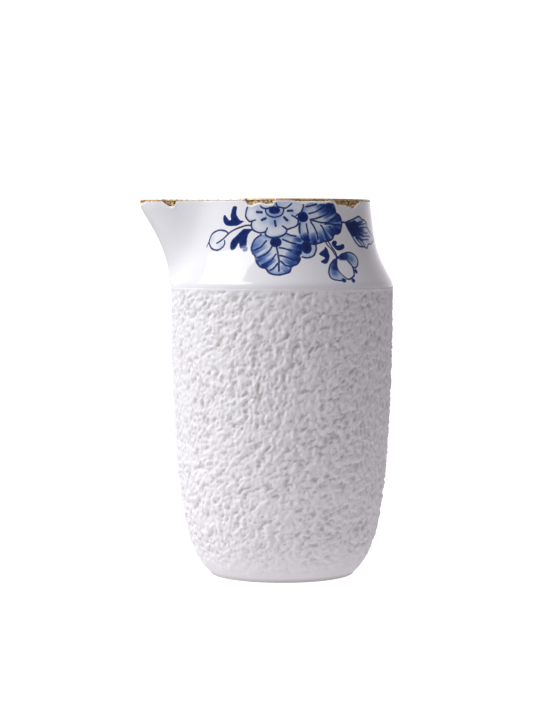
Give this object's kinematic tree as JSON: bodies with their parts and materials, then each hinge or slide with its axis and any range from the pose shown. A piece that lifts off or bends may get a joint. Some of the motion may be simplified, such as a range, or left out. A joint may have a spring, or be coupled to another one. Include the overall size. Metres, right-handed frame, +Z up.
{
  "type": "cream jug",
  "caption": "Tall porcelain cream jug with a rough biscuit wall, a smooth glazed collar drawn out into a pouring spout, and a gilded chipped lip.",
  "frame": {"origin": "centre of the foot ring, in the plane that the jug stands on", "axes": "+Z up along the axis of the body, -X towards the spout"},
  "size_m": [0.0745, 0.0652, 0.11],
  "materials": {
    "biscuit": "unglazed biscuit porcelain, matte, with a moulded wrinkled relief",
    "glaze": "clear glaze over white porcelain, high gloss",
    "gilding": "gold lustre, satin on the lip and gritty brown gold in the chips",
    "cobalt": "cobalt blue painting under the glaze, from pale wash to near black"
  },
  "bodies": {
    "root": {"porcelain_body": "biscuit", "collar_glaze": "glaze", "inner_glaze": "glaze", "lip_gilding": "gilding", "gilded_chip_spout_tip": "gilding", "gilded_chip_spout_side": "gilding", "gilded_chip_front": "gilding", "gilded_chip_front_edge": "gilding", "gilded_chip_front_right": "gilding", "gilded_chip_back_right": "gilding", "gilded_chip_back": "gilding", "gilded_chip_back_left": "gilding"}
  },
  "joints": []
}
